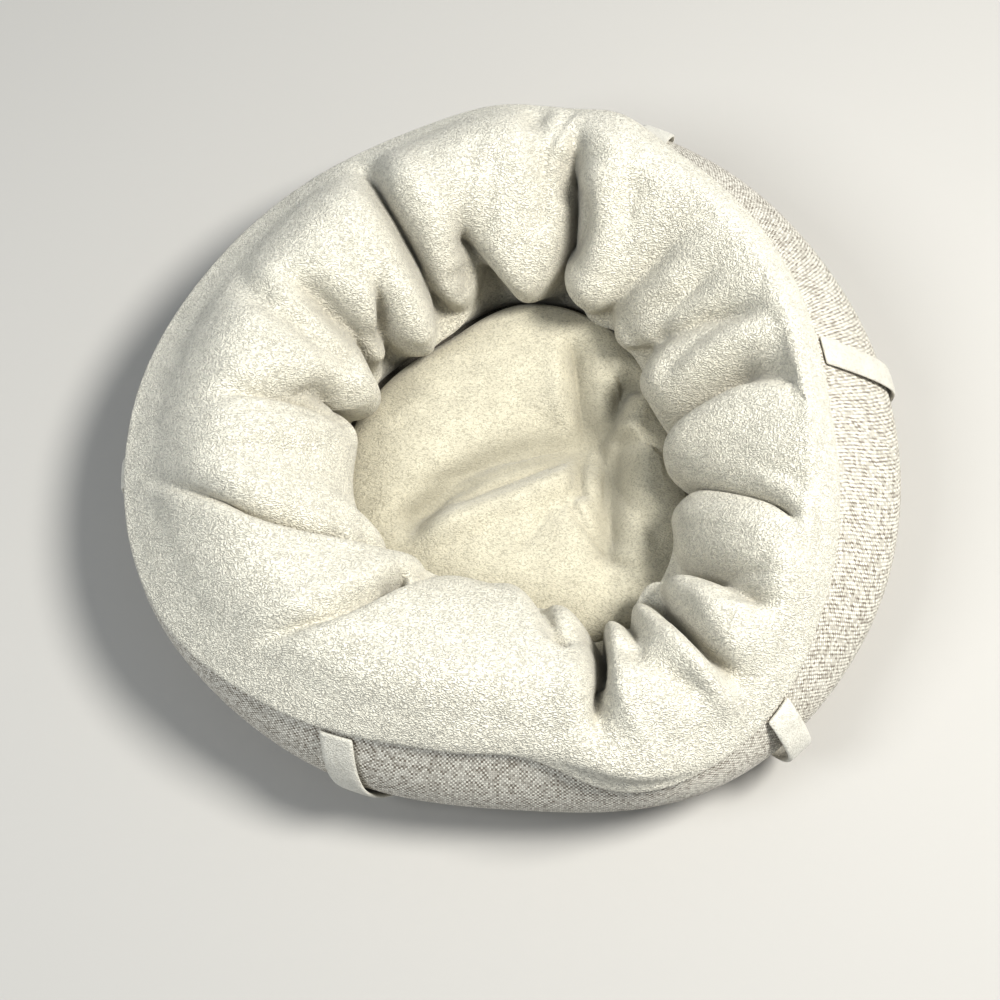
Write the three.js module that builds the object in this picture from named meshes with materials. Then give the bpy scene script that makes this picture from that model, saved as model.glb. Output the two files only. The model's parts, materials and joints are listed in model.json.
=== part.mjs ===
// A round pet bed: a filled ring in short-pile fleece with a woven outer wall, a flat base panel,
// a tufted pad in the hollow and fleece carrying loops on the wall.
// Millimetres, +Z up. The origin is on the floor under the middle of the ring, and azimuth 0 is +X.
import * as THREE from 'three';
import { mergeVertices } from 'three/addons/utils/BufferGeometryUtils.js';

// Cloth thicknesses and the clearance between sewn pieces
const BASE_THICKNESS = 2.5;
const WALL_THICKNESS = 2;
const LOOP_THICKNESS = 3;
const CLEARANCE = 0.3;
const FLOOR_OF_FILLING = BASE_THICKNESS + CLEARANCE;

// The ring: how finely it is divided, and the places of its rails along the section from foot to toe
const FLEECE_COLUMNS = 160;
const WALL_COLUMNS = 80;
const RAIL_PLACES = { foot: 0, bulge: 0.22, seam: 0.38, crest: 0.62, inner: 0.86, toe: 1 };
const FOOT_RUN_IN = { back: 26, place: -0.11 };
const TOE_RUN_OUT = { out: 12, place: 1.1 };
const TUBE_CORE_HEIGHT = 86;
const NORMAL_STEP = 0.004;

// The step at the seam, where the fleece rolls over the top edge of the wall
const SEAM = RAIL_PLACES.seam;
const SEAM_LEDGE = 0.012;
const FILLING_CLEARANCE = 0.9;
const FILLING_INSET = WALL_THICKNESS + FILLING_CLEARANCE;
const FOOT_INSET = 4;

// Carrying loops: a fleece strip from just under the seam to just over the foot
const LOOP_STEPS = 8;
const LOOP_TOP = 0.365;
const LOOP_FOOT = 0.05;
const LOOP_SEAT = 0.6;
const LOOP_BOW = 0.8;

// The pad in the hollow, and the tuft that pulls its top down
const PAD_COLUMNS = 72;
const PAD_SIDE_CLEARANCE = 0.5;
const TUFT = { x: 57, y: 23 };

const FLEECE = { color: 0xe9e2d3, roughness: 0.96, metalness: 0 };
const WOVEN = { color: 0xa79f94, roughness: 0.9, metalness: 0 };

function table(columns, ...rows) {
  const names = columns.split(' ');
  return rows.map((row) => Object.fromEntries(names.map((name, i) => [name, row[i]])));
}

// Rails of the ring, one row each 30 degrees: radius and height of each rail.
// The ring leans towards azimuth 180, so the woven wall shows most around azimuth 0 to 30.
const STATIONS = table(
  'azimuth footR bulgeR bulgeZ seamR seamZ crestR crestZ innerR innerZ toeR toeZ',
  [0, 262, 291, 66, 221, 158, 190, 168, 107, 92, 130, 34],
  [30, 260, 290, 68, 223, 158, 190, 168, 108, 92, 130, 34],
  [60, 258, 294, 72, 240, 146, 202, 167, 123, 92, 142, 34],
  [90, 254, 288, 76, 270, 114, 206, 166, 128, 90, 144, 34],
  [120, 244, 277, 76, 266, 102, 197, 162, 107, 90, 126, 34],
  [150, 246, 278, 76, 271, 97, 200, 161, 114, 90, 132, 34],
  [180, 258, 294, 78, 291, 92, 212, 161, 126, 90, 145, 34],
  [210, 264, 302, 78, 299, 97, 220, 161, 139, 90, 156, 34],
  [240, 258, 293, 74, 272, 120, 212, 162, 126, 90, 150, 34],
  [270, 248, 281, 70, 255, 131, 204, 164, 128, 92, 149, 34],
  [300, 268, 301, 66, 288, 106, 224, 164, 159, 92, 168, 34],
  [330, 266, 297, 64, 254, 137, 212, 167, 138, 92, 155, 34],
);

// Folds of the fleece: a valley that runs from its outer end, past a bend, to its inner end.
// Azimuths in degrees, places along the section, then depth, half width and the lip on its low side.
const FOLDS = table(
  'outerAz outerPlace bendAz innerAz innerPlace depth width lip',
  [47, 0.62, 53, 59, 0.92, 13, 11, 3],
  [35, 0.58, 36, 33, 0.86, 7, 11, 2],
  [22, 0.58, 27, 30, 0.9, 8, 13, 2],
  [5, 0.56, 10, 1, 0.92, 12, 16, 3],
  [336, 0.54, 336, 339, 0.92, 13, 11, 4],
  [320, 0.46, 317, 309, 0.86, 13, 13, 4],
  [310, 0.42, 302, 302, 0.76, 14, 14, 4],
  [295, 0.6, 299, 304, 0.9, 15, 13, 3],
  [282, 0.44, 285, 289, 0.9, 26, 12, 6],
  [283, 0.62, 278, 274, 0.86, 8, 11, 3],
  [224, 0.45, 233, 243, 0.84, 10, 12, 3],
  [192, 0.42, 206, 226, 0.84, 11, 12, 4],
  [182, 0.54, 178, 177, 0.82, 6, 11, 2],
  [174, 0.64, 172, 170, 0.94, 13, 10, 4],
  [151, 0.58, 152, 154, 0.92, 17, 11, 4],
  [152, 0.46, 160, 161, 0.76, 6, 11, 2],
  [139, 0.68, 140, 140, 0.94, 13, 12, 2],
  [121, 0.42, 120, 118, 0.88, 18, 12, 4],
  [110, 0.68, 104, 98, 0.94, 19, 13, 2],
  [89, 0.38, 87, 85, 0.72, 7, 9, 2],
  [83, 0.48, 76, 73, 0.94, 27, 15, 8],
);

// Soft swellings of the filling between the folds: middle, half spans and rise
const SWELLINGS = table(
  'azimuth place spanAz spanPlace rise',
  [70, 0.5, 10, 0.18, 8],
  [75, 0.43, 7, 0.07, 7],
  [95, 0.5, 11, 0.2, 6],
  [132, 0.6, 10, 0.18, 5],
  [164, 0.66, 9, 0.16, 5],
  [190, 0.68, 10, 0.14, 5],
  [258, 0.64, 17, 0.2, 7],
  [286, 0.42, 9, 0.06, 12],
  [294, 0.56, 6, 0.12, 5],
  [327, 0.6, 8, 0.16, 6],
  [350, 0.62, 9, 0.18, 6],
  [20, 0.66, 7, 0.14, 4],
);

// Carrying loops on the wall: the azimuth of each at its top, how far round its foot lies from
// that, how far its middle stands off the wall, and its width. All but one are drawn almost flat.
const LOOPS = table(
  'name azimuth lean standOff width',
  ['loop_east', 12, 2, 2, 23],
  ['loop_north_east', 68, 2, 3, 25],
  ['loop_north_west', 128, 2, 1, 25],
  ['loop_west', 187, 3, 1, 25],
  ['loop_south_west', 243, 8, 2, 25],
  ['loop_south_east', 311, 2, 9, 22],
);

// The pad from its tuft, at share 0 of the way to the rim, over its crown and rim to the underside
const PAD_PROFILE = table(
  'share height',
  [0, 20], [0.05, 25], [0.12, 33], [0.22, 40], [0.34, 45], [0.48, 48], [0.62, 49], [0.76, 47],
  [0.87, 43], [0.96, 37], [1, 27], [0.985, 12], [0.94, FLOOR_OF_FILLING], [0.5, FLOOR_OF_FILLING],
  [0, FLOOR_OF_FILLING],
);

// Creases that run from the tuft to the rim: rim azimuth, depth, half width and reach along the way
const CREASES = table(
  'azimuth depth width reach',
  [70, 9, 11, 1], [42, 14, 10, 0.95], [322, 12, 11, 0.9], [296, 8, 13, 1], [258, 5, 12, 0.7],
  [209, 13, 11, 1], [196, 7, 9, 0.85], [135, 4, 14, 0.6],
);

// How folds and creases are shaped across and along their course
const FOLD = { cusp: 1.4, lipOffset: 1.5, openBy: 0.45, holdsTo: 0.85, endLoss: 0.5 };
const CREASE = { cusp: 1.5, openBy: 0.12, holdsTo: 0.6 };

const degrees = THREE.MathUtils.degToRad;
const smooth = THREE.MathUtils.smoothstep;

// A rail's value at any azimuth, by a closed Catmull-Rom curve through the stations
function railValue(name, azimuth) {
  const count = STATIONS.length;
  const along = (((azimuth % 360) + 360) % 360) / (360 / count);
  const at = Math.floor(along);
  const f = along - at;
  const value = (k) => STATIONS[(at + k + count) % count][name];
  const [a, b, c, d] = [value(-1), value(0), value(1), value(2)];
  return 0.5 * (2 * b + (c - a) * f + (2 * a - 5 * b + 4 * c - d) * f ** 2
    + (3 * b - a - 3 * c + d) * f ** 3);
}

// The rails in order along the section, with the place of each
const RAILS = Object.entries(RAIL_PLACES);

function railPoint(azimuth, name) {
  const height = name === 'foot' ? FLOOR_OF_FILLING : railValue(`${name}Z`, azimuth);
  return new THREE.Vector2(railValue(`${name}R`, azimuth), height);
}

// The slope of the section at a rail, from the chords on both sides of it
function railSlope(azimuth, index) {
  const here = railPoint(azimuth, RAILS[index][0]);
  const place = RAILS[index][1];
  const before = index > 0
    ? { point: railPoint(azimuth, RAILS[index - 1][0]), place: RAILS[index - 1][1] }
    : { point: new THREE.Vector2(here.x - FOOT_RUN_IN.back, here.y), place: FOOT_RUN_IN.place };
  const after = index < RAILS.length - 1
    ? { point: railPoint(azimuth, RAILS[index + 1][0]), place: RAILS[index + 1][1] }
    : {
      point: new THREE.Vector2(here.x + TOE_RUN_OUT.out, FLOOR_OF_FILLING),
      place: TOE_RUN_OUT.place,
    };
  const [spanIn, spanOut] = [place - before.place, after.place - place];
  const chordIn = here.clone().sub(before.point).divideScalar(spanIn);
  const chordOut = after.point.clone().sub(here).divideScalar(spanOut);
  return chordOut.multiplyScalar(spanIn).add(chordIn.multiplyScalar(spanOut))
    .divideScalar(spanIn + spanOut);
}

// The plain section of the ring, without folds: radius as x and height as y
function sectionPoint(azimuth, place) {
  let index = 0;
  while (index < RAILS.length - 2 && place > RAILS[index + 1][1]) index += 1;
  const span = RAILS[index + 1][1] - RAILS[index][1];
  const f = (place - RAILS[index][1]) / span;
  const start = railPoint(azimuth, RAILS[index][0]);
  const end = railPoint(azimuth, RAILS[index + 1][0]);
  const leave = railSlope(azimuth, index).multiplyScalar(span);
  const arrive = railSlope(azimuth, index + 1).multiplyScalar(span);
  return start.multiplyScalar(2 * f ** 3 - 3 * f ** 2 + 1)
    .add(leave.multiplyScalar(f ** 3 - 2 * f ** 2 + f))
    .add(end.multiplyScalar(-2 * f ** 3 + 3 * f ** 2))
    .add(arrive.multiplyScalar(f ** 3 - f ** 2));
}

// The outward direction across the section at a place
function sectionNormal(azimuth, place) {
  const low = sectionPoint(azimuth, Math.max(place - NORMAL_STEP, 0));
  const high = sectionPoint(azimuth, Math.min(place + NORMAL_STEP, 1));
  const along = high.sub(low).normalize();
  return new THREE.Vector2(along.y, -along.x);
}

function azimuthBetween(from, to) {
  return ((from - to + 540) % 360) - 180;
}

// How far a fold draws the fleece in at one point: a cusped valley with a lip on one side
function foldDepth(fold, azimuth, place, radius) {
  const along = (place - fold.outerPlace) / (fold.innerPlace - fold.outerPlace);
  if (along < 0 || along > 1) return 0;
  const bend = azimuthBetween(fold.bendAz, fold.outerAz);
  const end = azimuthBetween(fold.innerAz, fold.outerAz);
  const course = fold.outerAz + along * (1 - along) * 4 * (bend - end / 2) + along * end;
  const across = degrees(azimuthBetween(azimuth, course)) * radius;
  const valley = Math.exp(-((Math.abs(across) / fold.width) ** FOLD.cusp));
  const lip = Math.exp(-((across / fold.width + FOLD.lipOffset) ** 2));
  const fade = smooth(along, 0, FOLD.openBy) * (1 - smooth(along, FOLD.holdsTo, 1) * FOLD.endLoss);
  return (fold.depth * valley - fold.lip * lip) * fade;
}

function swellingRise(swelling, azimuth, place) {
  const a = azimuthBetween(azimuth, swelling.azimuth) / swelling.spanAz;
  const p = (place - swelling.place) / swelling.spanPlace;
  return swelling.rise * Math.exp(-a * a - p * p);
}

// The ring's cloth surface with its folds and swellings
function clothPoint(azimuth, place) {
  const point = sectionPoint(azimuth, place);
  if (place <= SEAM) return point;
  const core = new THREE.Vector2(
    (railValue('bulgeR', azimuth) + railValue('innerR', azimuth)) / 2, TUBE_CORE_HEIGHT);
  const outward = point.clone().sub(core).normalize();
  const folds = FOLDS.reduce((sum, fold) => sum + foldDepth(fold, azimuth, place, point.x), 0);
  const rise = SWELLINGS.reduce((sum, one) => sum + swellingRise(one, azimuth, place), 0);
  return point.addScaledVector(outward, rise * smooth(place, SEAM, SEAM + SEAM_LEDGE) - folds);
}

function ringPoint(azimuth, flat) {
  const angle = degrees(azimuth);
  return new THREE.Vector3(flat.x * Math.cos(angle), flat.x * Math.sin(angle), flat.y);
}

// Moves every vertex of a closed three.js geometry to where its uv puts it, then joins its seams
function shapedBy(geometry, placeVertex) {
  const { position, uv } = geometry.attributes;
  for (let i = 0; i < position.count; i += 1) {
    const from = new THREE.Vector3().fromBufferAttribute(position, i);
    const to = placeVertex(uv.getX(i) % 1, uv.getY(i), from);
    position.setXYZ(i, to.x, to.y, to.z);
  }
  geometry.deleteAttribute('uv');
  geometry.deleteAttribute('normal');
  const joined = mergeVertices(geometry, 1e-3);
  joined.computeVertexNormals();
  return joined;
}

// A closed ring whose section is a list of rows, each a function from azimuth to a flat point
function ringOfRows(rows, columns) {
  const torus = new THREE.TorusGeometry(2, 1, rows.length, columns);
  return shapedBy(torus, (u, v) => {
    const azimuth = u * 360;
    return ringPoint(azimuth, rows[Math.round(v * rows.length) % rows.length](azimuth));
  });
}

const WALL_PLACES = [0, 0.05, 0.1, 0.16, RAIL_PLACES.bulge, 0.3, SEAM];
const FLEECE_PLACES = [
  SEAM + SEAM_LEDGE, 0.43, 0.47, 0.51, 0.55, 0.59, 0.63, 0.67, 0.71, 0.745, 0.78, 0.815, 0.85,
  0.89, 0.93, 1,
];

function wallPoint(azimuth, place, inset) {
  const point = sectionPoint(azimuth, place);
  if (place === 0) return point.setX(point.x - inset);
  return point.addScaledVector(sectionNormal(azimuth, place), -inset);
}

// The filled ring: inset behind the wall, full under the fleece, flat on the base
function fillingRow(place) {
  if (place === 0) return (azimuth) => wallPoint(azimuth, 0, FOOT_INSET);
  if (place === SEAM) return (azimuth) => wallPoint(azimuth, SEAM + SEAM_LEDGE / 2, FILLING_INSET);
  return (azimuth) => wallPoint(azimuth, place, FILLING_INSET);
}

function bolsterGeometry() {
  return ringOfRows([
    ...WALL_PLACES.map(fillingRow),
    ...FLEECE_PLACES.map((place) => (azimuth) => clothPoint(azimuth, place)),
    (azimuth) => new THREE.Vector2(railValue('toeR', azimuth) + TOE_RUN_OUT.out, FLOOR_OF_FILLING),
  ], FLEECE_COLUMNS);
}

// The woven wall: a 2 mm band from the base to the seam
function wallGeometry() {
  const outside = WALL_PLACES.map((place) => (azimuth) => wallPoint(azimuth, place, 0));
  const inside = WALL_PLACES.map((place) => (azimuth) => wallPoint(azimuth, place, WALL_THICKNESS));
  return ringOfRows([...outside, ...inside.reverse()], WALL_COLUMNS);
}

// The base panel: flat, cut to the foot of the wall
function baseGeometry() {
  const outline = Array.from({ length: WALL_COLUMNS }, (_, i) => {
    const angle = (i / WALL_COLUMNS) * 360;
    const rim = ringPoint(angle, railPoint(angle, 'foot'));
    return new THREE.Vector2(rim.x, rim.y);
  });
  return new THREE.ExtrudeGeometry(new THREE.Shape(outline), {
    depth: BASE_THICKNESS, bevelEnabled: false,
  });
}

function creaseDepth(crease, azimuth, share, reachOfRim) {
  const across = degrees(azimuthBetween(azimuth, crease.azimuth)) * reachOfRim * share;
  const fade = smooth(share, 0, CREASE.openBy)
    * (1 - smooth(share, crease.reach * CREASE.holdsTo, crease.reach));
  return crease.depth * Math.exp(-((Math.abs(across) / crease.width) ** CREASE.cusp)) * fade;
}

// The pad: rows run from the tuft over the crown to the rim, then back under to the middle
function padGeometry() {
  const last = PAD_PROFILE.length - 1;
  const rimRow = PAD_PROFILE.findIndex((row) => row.share === 1);
  const sphere = new THREE.SphereGeometry(1, PAD_COLUMNS, last);
  return shapedBy(sphere, (u, v) => {
    const index = Math.round((1 - v) * last);
    const { share, height } = PAD_PROFILE[index];
    const azimuth = u * 360;
    const rim = ringPoint(azimuth, railPoint(azimuth, 'toe').setY(0));
    rim.setLength(rim.length() - PAD_SIDE_CLEARANCE);
    const tuft = new THREE.Vector3(TUFT.x, TUFT.y, 0);
    const reachOfRim = rim.distanceTo(tuft);
    const creases = index < rimRow
      ? CREASES.reduce((sum, one) => sum + creaseDepth(one, azimuth, share, reachOfRim), 0)
      : 0;
    return tuft.lerp(rim, share).setZ(height - creases);
  });
}

// A carrying loop: a flat strip that leaves the wall at its top and returns to it at its foot
function loopGeometry(loop) {
  const strip = new THREE.BoxGeometry(loop.width, 1, LOOP_THICKNESS, 2, LOOP_STEPS, 1);
  return shapedBy(strip, (u, v, from) => {
    const share = from.y + 0.5;
    const place = THREE.MathUtils.lerp(LOOP_FOOT, LOOP_TOP, share);
    const standOff = LOOP_SEAT + loop.standOff * Math.sin(share * Math.PI) ** LOOP_BOW;
    const offset = standOff + LOOP_THICKNESS / 2 + from.z;
    const middle = loop.azimuth + loop.lean * (1 - share);
    const azimuth = middle + THREE.MathUtils.radToDeg(from.x / sectionPoint(middle, place).x);
    const onWall = sectionPoint(azimuth, place);
    return ringPoint(azimuth, onWall.addScaledVector(sectionNormal(azimuth, place), offset));
  });
}

function piece(name, geometry, finish) {
  const mesh = new THREE.Mesh(geometry, new THREE.MeshStandardMaterial(finish));
  mesh.name = name;
  return mesh;
}

const bed = new THREE.Group();
bed.add(
  piece('base_panel', baseGeometry(), WOVEN),
  piece('wall_panel', wallGeometry(), WOVEN),
  piece('bolster', bolsterGeometry(), FLEECE),
  piece('pad', padGeometry(), FLEECE),
  ...LOOPS.map((loop) => piece(loop.name, loopGeometry(loop), FLEECE)),
);

export default bed;
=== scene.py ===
# %% [markdown]
# A round pet bed, photographed from above. A filled ring in cream fleece leans a little to the left,
# so that its woven outer wall shows along the front and the right. In the hollow lies a soft pad,
# pulled down at a tuft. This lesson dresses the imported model, the frame, with finer pieces: each one
# takes the place of a plain solid and keeps its size. We first load the frame, because every size and
# place below has to agree with it.

# %% Load the frame and keep its box
import json
import math

import bmesh
import bpy
import numpy as np
from mathutils import Matrix, Vector

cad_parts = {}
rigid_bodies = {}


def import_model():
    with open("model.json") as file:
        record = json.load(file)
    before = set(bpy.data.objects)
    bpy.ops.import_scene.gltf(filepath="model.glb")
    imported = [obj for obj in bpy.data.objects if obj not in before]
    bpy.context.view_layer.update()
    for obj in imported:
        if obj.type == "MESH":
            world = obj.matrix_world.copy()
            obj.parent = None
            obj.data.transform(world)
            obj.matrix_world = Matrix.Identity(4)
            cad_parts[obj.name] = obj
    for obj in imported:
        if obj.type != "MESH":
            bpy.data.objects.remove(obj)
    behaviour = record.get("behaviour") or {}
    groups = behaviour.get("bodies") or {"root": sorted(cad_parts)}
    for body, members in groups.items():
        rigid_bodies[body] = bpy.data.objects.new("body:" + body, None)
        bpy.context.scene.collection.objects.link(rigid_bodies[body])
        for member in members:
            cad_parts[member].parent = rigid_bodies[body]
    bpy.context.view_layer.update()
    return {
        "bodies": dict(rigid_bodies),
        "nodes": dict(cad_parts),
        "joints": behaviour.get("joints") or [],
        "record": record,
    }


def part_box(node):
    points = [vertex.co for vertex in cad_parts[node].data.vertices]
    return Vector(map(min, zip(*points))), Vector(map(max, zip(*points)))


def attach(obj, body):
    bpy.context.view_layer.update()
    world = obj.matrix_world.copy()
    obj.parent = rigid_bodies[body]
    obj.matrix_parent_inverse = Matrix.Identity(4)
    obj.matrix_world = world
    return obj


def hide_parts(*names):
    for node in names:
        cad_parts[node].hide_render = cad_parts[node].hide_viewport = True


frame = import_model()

MM = 0.001
BODY = "root"
print("nodes:", ", ".join(sorted(frame["nodes"])))

# %% [markdown]
# The ring is not a perfect doughnut. A maker would describe it by a few rails that run right round
# it: the foot, the widest bulge, the seam where fleece meets the woven wall, the crest, the inner
# bulge and the toe that meets the pad. A short table gives the radius and height of each rail every
# 30 degrees. Between the rows a closed curve through them fills in, and across the rails a curve with
# a set slope at each rail does, so the surface is smooth both ways. A place says how far across the
# section a point lies, from 0 at the foot to 1 at the toe. Numbers here are millimetres and degrees.

# %% Rails of the ring
RAIL_PLACES = {"foot": 0.0, "bulge": 0.22, "seam": 0.38, "crest": 0.62, "inner": 0.86, "toe": 1.0}
SEAM = RAIL_PLACES["seam"]
CLOTH_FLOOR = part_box("bolster")[0].z / MM
# How the section would run on before its first rail and past its last one
RUN_IN = {"back": 26.0, "place": -0.11}
RUN_OUT = {"out": 12.0, "place": 1.1}

STATION_COLUMNS = "azimuth footR bulgeR bulgeZ seamR seamZ crestR crestZ innerR innerZ toeR toeZ"
STATIONS = (
    (0, 262, 291, 66, 221, 158, 190, 168, 107, 92, 130, 34),
    (30, 260, 290, 68, 223, 158, 190, 168, 108, 92, 130, 34),
    (60, 258, 294, 72, 240, 146, 202, 167, 123, 92, 142, 34),
    (90, 254, 288, 76, 270, 114, 206, 166, 128, 90, 144, 34),
    (120, 244, 277, 76, 266, 102, 197, 162, 107, 90, 126, 34),
    (150, 246, 278, 76, 271, 97, 200, 161, 114, 90, 132, 34),
    (180, 258, 294, 78, 291, 92, 212, 161, 126, 90, 145, 34),
    (210, 264, 302, 78, 299, 97, 220, 161, 139, 90, 156, 34),
    (240, 258, 293, 74, 272, 120, 212, 162, 126, 90, 150, 34),
    (270, 248, 281, 70, 255, 131, 204, 164, 128, 92, 149, 34),
    (300, 268, 301, 66, 288, 106, 224, 164, 159, 92, 168, 34),
    (330, 266, 297, 64, 254, 137, 212, 167, 138, 92, 155, 34),
)


def rail(name, azimuth):
    """A rail's value at any azimuths, by a closed smooth curve through the stations."""
    column = STATION_COLUMNS.split().index(name)
    values = np.array([station[column] for station in STATIONS], dtype=float)
    count = len(values)
    along = (np.asarray(azimuth, dtype=float) % 360.0) / (360.0 / count)
    at = np.floor(along).astype(int)
    f = along - at
    a, b, c, d = (values[(at + k) % count] for k in (-1, 0, 1, 2))
    return 0.5 * (
        2 * b + (c - a) * f + (2 * a - 5 * b + 4 * c - d) * f**2 + (3 * b - a - 3 * c + d) * f**3
    )


print("widest radius in mm:", round(float(rail("bulgeR", np.arange(0, 360, 5)).max()), 1))

# %% The plain section of the ring
RAILS = list(RAIL_PLACES.items())


def curve_between(f, start, start_slope, end, end_slope, span):
    """A smooth curve from start to end with given slopes there, while f runs from 0 to 1."""
    return (
        (2 * f**3 - 3 * f**2 + 1) * start
        + (f**3 - 2 * f**2 + f) * start_slope * span
        + (-2 * f**3 + 3 * f**2) * end
        + (f**3 - f**2) * end_slope * span
    )


def rail_point(name, azimuth):
    """Radius and height of a rail, side by side."""
    height = np.full(np.shape(azimuth), CLOTH_FLOOR) if name == "foot" else rail(f"{name}Z", azimuth)
    return np.stack([rail(f"{name}R", azimuth), height], axis=-1)


def rail_slope(index, azimuth):
    """The section's slope at a rail, from the chords on both sides of it."""
    name, place = RAILS[index]
    here = rail_point(name, azimuth)
    if index > 0:
        before, place_before = rail_point(RAILS[index - 1][0], azimuth), RAILS[index - 1][1]
    else:
        before, place_before = here - np.array([RUN_IN["back"], 0.0]), RUN_IN["place"]
    if index < len(RAILS) - 1:
        after, place_after = rail_point(RAILS[index + 1][0], azimuth), RAILS[index + 1][1]
    else:
        after, place_after = here + np.array([RUN_OUT["out"], 0.0]), RUN_OUT["place"]
        after[..., 1] = CLOTH_FLOOR
    span_in, span_out = place - place_before, place_after - place
    chord_in, chord_out = (here - before) / span_in, (after - here) / span_out
    return (chord_out * span_in + chord_in * span_out) / (span_in + span_out)


def section(azimuth, place):
    """Radius and height on the plain ring, for arrays of azimuths and places."""
    azimuth, place = np.broadcast_arrays(np.asarray(azimuth, float), np.asarray(place, float))
    result = np.zeros(azimuth.shape + (2,))
    for index in range(len(RAILS) - 1):
        low, high = RAILS[index][1], RAILS[index + 1][1]
        here = (place >= low) & ((place < high) | (index == len(RAILS) - 2))
        if not here.any():
            continue
        az, span = azimuth[here], high - low
        f = ((place[here] - low) / span)[:, None]
        start, end = ((rail_point(RAILS[k][0], az), rail_slope(k, az)) for k in (index, index + 1))
        result[here] = curve_between(f, *start, *end, span)
    return result


def section_normal(azimuth, place, step=0.004):
    """The outward direction across the section."""
    low = section(azimuth, np.clip(np.asarray(place) - step, 0, 1))
    high = section(azimuth, np.clip(np.asarray(place) + step, 0, 1))
    along = high - low
    along /= np.linalg.norm(along, axis=-1, keepdims=True)
    return np.stack([along[..., 1], -along[..., 0]], axis=-1)


def to_xyz(azimuth, flat):
    """Radius and height at an azimuth, as a point in metres."""
    angle = np.radians(azimuth)
    radius, height = flat[..., 0] * MM, flat[..., 1] * MM
    return np.stack([radius * np.cos(angle), radius * np.sin(angle), height], axis=-1)


# %% [markdown]
# The fleece is gathered towards the hollow, so it folds. Each fold is a valley that starts softly near
# the outside, bends, and deepens towards the inner edge. A row of the table is one fold: where it
# starts, bends and ends, how deep and wide it is, how much cloth stands up on its low side, and how far
# that lip leans over the valley. Between the folds the filling swells the cloth a little, and the second
# table says where. Just above the pad the fleece bulges into the hollow in lobes.

# %% Folds and swellings of the fleece
# Columns: outer azimuth, outer place, bend azimuth, inner azimuth, inner place, depth, width, lip, lean
MAIN_FOLDS = (
    (48, 0.62, 54, 61, 0.92, 12, 12, 3, 3),
    (36, 0.60, 40, 45, 0.84, 5, 10, 1, 1),
    (20, 0.58, 31, 39, 0.90, 15, 12, 4, 5),
    (4, 0.54, 9, 355, 0.92, 19, 15, 5, 6),
    (334, 0.54, 337, 342, 0.94, 17, 10, 6, 10),
    (319, 0.48, 318, 317, 0.88, 19, 12, 6, 5),
    (309, 0.43, 305, 308, 0.84, 24, 8, 5, 4),
    (294, 0.64, 297, 299, 0.92, 13, 9, 3, 3),
    (282, 0.42, 286, 291, 0.92, 26, 9, 5, 5),
    (283, 0.62, 278, 274, 0.86, 10, 11, 4, 4),
    (224, 0.45, 233, 241, 0.84, 11, 11, 4, 4),
    (195, 0.48, 208, 227, 0.86, 14, 12, 6, 8),
    (182, 0.54, 178, 177, 0.82, 9, 10, 3, 4),
    (176, 0.64, 172, 170, 0.94, 20, 10, 6, 9),
    (151, 0.56, 151, 153, 0.94, 24, 12, 6, 8),
    (152, 0.46, 160, 161, 0.76, 8, 12, 2, 2),
    (138, 0.70, 140, 141, 0.96, 23, 11, 4, 6),
    (121, 0.40, 122, 117, 0.92, 29, 13, 6, 8),
    (109, 0.66, 104, 98, 0.96, 28, 15, 4, 4),
    (89, 0.38, 87, 85, 0.72, 8, 9, 2, 2),
    (83, 0.46, 76, 73, 0.96, 33, 13, 8, 11),
)

# Columns: azimuth, place, span in degrees, span in places, rise
SWELLINGS = (
    (70, 0.50, 10, 0.18, 8),
    (75, 0.43, 7, 0.07, 7),
    (95, 0.50, 11, 0.20, 6),
    (132, 0.60, 10, 0.18, 5),
    (164, 0.66, 9, 0.16, 5),
    (190, 0.68, 10, 0.14, 5),
    (258, 0.64, 17, 0.20, 7),
    (286, 0.42, 9, 0.06, 12),
    (294, 0.56, 6, 0.12, 5),
    (327, 0.60, 8, 0.16, 6),
    (350, 0.62, 9, 0.18, 6),
    (20, 0.66, 7, 0.14, 4),
)
print("folds:", len(MAIN_FOLDS), "swellings:", len(SWELLINGS))

# %% How a fold draws the cloth in
FOLD_SHAPE = {
    "cusp": 1.5, "lip_offset": 1.5, "roll_offset": 0.8, "roll_width": 0.9,
    "open_by": 0.4, "holds_to": 0.92, "end_loss": 0.4,
}
# How far a fold runs on past its inner place, and how much deeper than in the tables all creases are
RUN_ON = 0.04
FINE_GAIN = 1.25
LOBE = {"rise": 5.0, "place": 0.925, "span": 0.05, "full_valley": 8.0}


def smooth(x, low, high):
    t = np.clip((x - low) / (high - low), 0, 1)
    return t * t * (3 - 2 * t)


def turn(to, start):
    """The shortest turn in degrees between two azimuths."""
    return (np.asarray(to) - start + 540.0) % 360.0 - 180.0


def fold_parts(fold, azimuth, place, radius):
    """How far along and across a fold each point lies, and how much of the fold is there."""
    outer_az, outer_place, bend_az, inner_az, inner_place = fold[:5]
    along = (place - outer_place) / (inner_place + RUN_ON - outer_place)
    bend, end = turn(bend_az, outer_az), turn(inner_az, outer_az)
    course = outer_az + along * (1 - along) * 4 * (bend - end / 2) + along * end
    across = np.radians(turn(azimuth, course)) * radius
    fade = smooth(along, 0, FOLD_SHAPE["open_by"])
    fade = fade * (1 - smooth(along, FOLD_SHAPE["holds_to"], 1) * FOLD_SHAPE["end_loss"])
    return across, np.where((along >= 0) & (along <= 1), fade, 0.0)


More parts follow.
